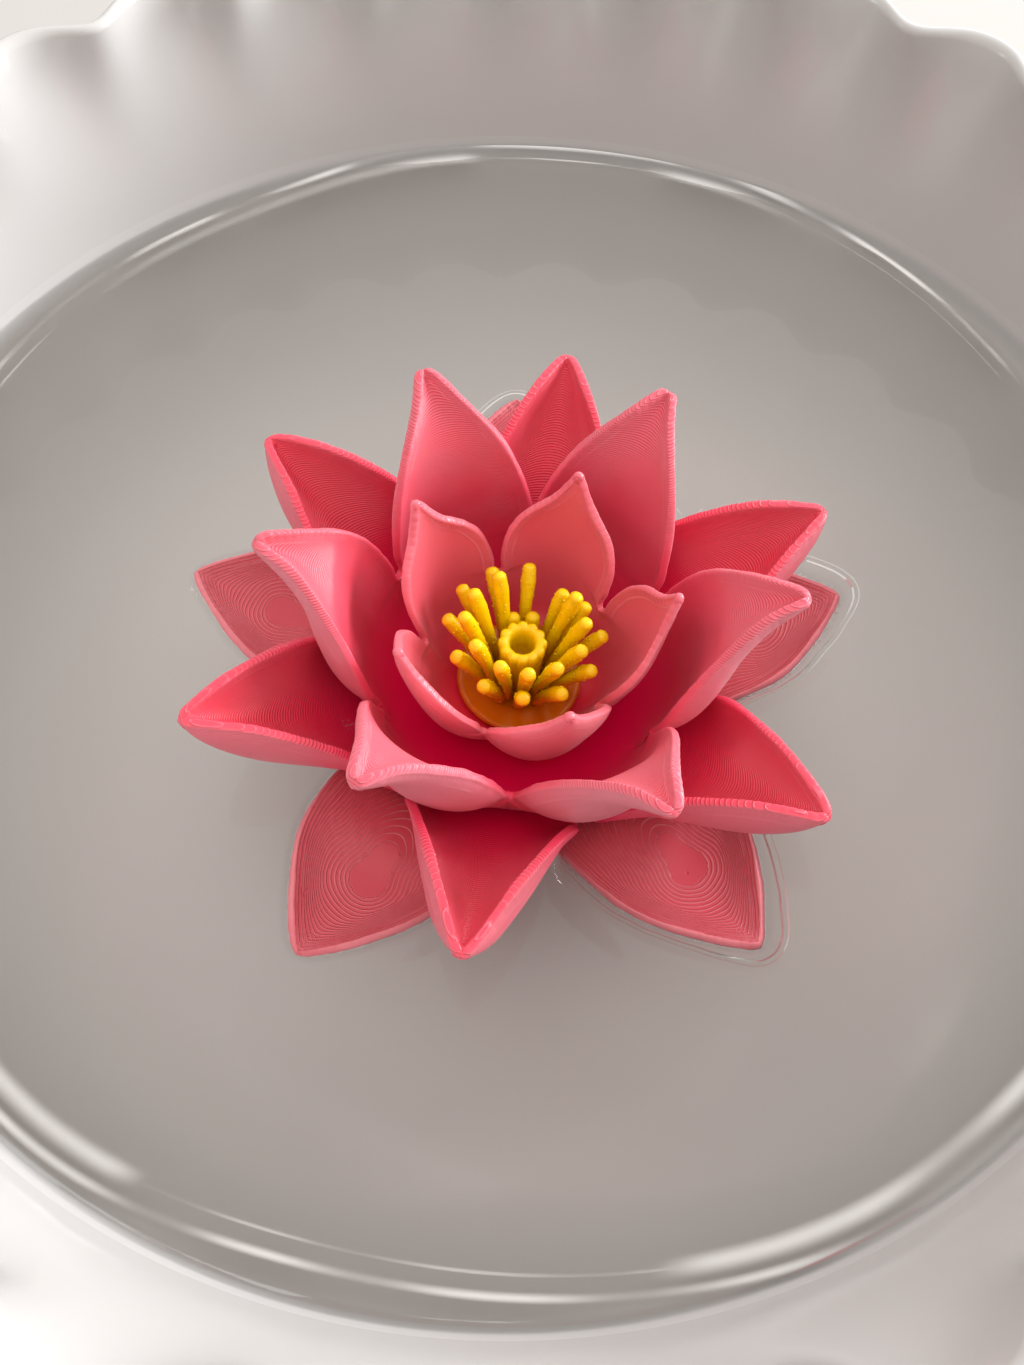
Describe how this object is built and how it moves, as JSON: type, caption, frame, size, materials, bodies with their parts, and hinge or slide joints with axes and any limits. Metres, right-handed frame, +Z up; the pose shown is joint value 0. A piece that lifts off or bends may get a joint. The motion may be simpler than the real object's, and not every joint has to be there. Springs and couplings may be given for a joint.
{
  "type": "lotus flower in bowl",
  "caption": "Layer-printed plastic lotus of stacked petal rings and a yellow stamen crown, floating on still water in a white bowl with a scalloped rim.",
  "frame": {"origin": "on the bowl's upright axis, at the level of its foot ring", "axes": "+Z up along the bowl's axis, -Y towards the side the flower floats nearest to, +X to the right seen from there"},
  "size_m": [0.1738, 0.1738, 0.06],
  "materials": {
    "bowl_glaze": "glossy off-white, like porcelain or opal glass, with soft flutes below the rim",
    "water": "clear still water, mirror smooth",
    "petal_dusty": "dull rose translucent print plastic with fine layer steps",
    "petal_coral": "glossy coral pink translucent print plastic, deeper red towards the middle, fine layer lines",
    "stamen_yellow": "glossy amber yellow translucent print plastic"
  },
  "bodies": {
    "root": {"bowl": "bowl_glaze", "water": "water", "base_petals": "petal_dusty", "outer_petals": "petal_coral", "mid_petals": "petal_coral", "inner_petals": "petal_coral", "stamens": "stamen_yellow"}
  },
  "joints": []
}
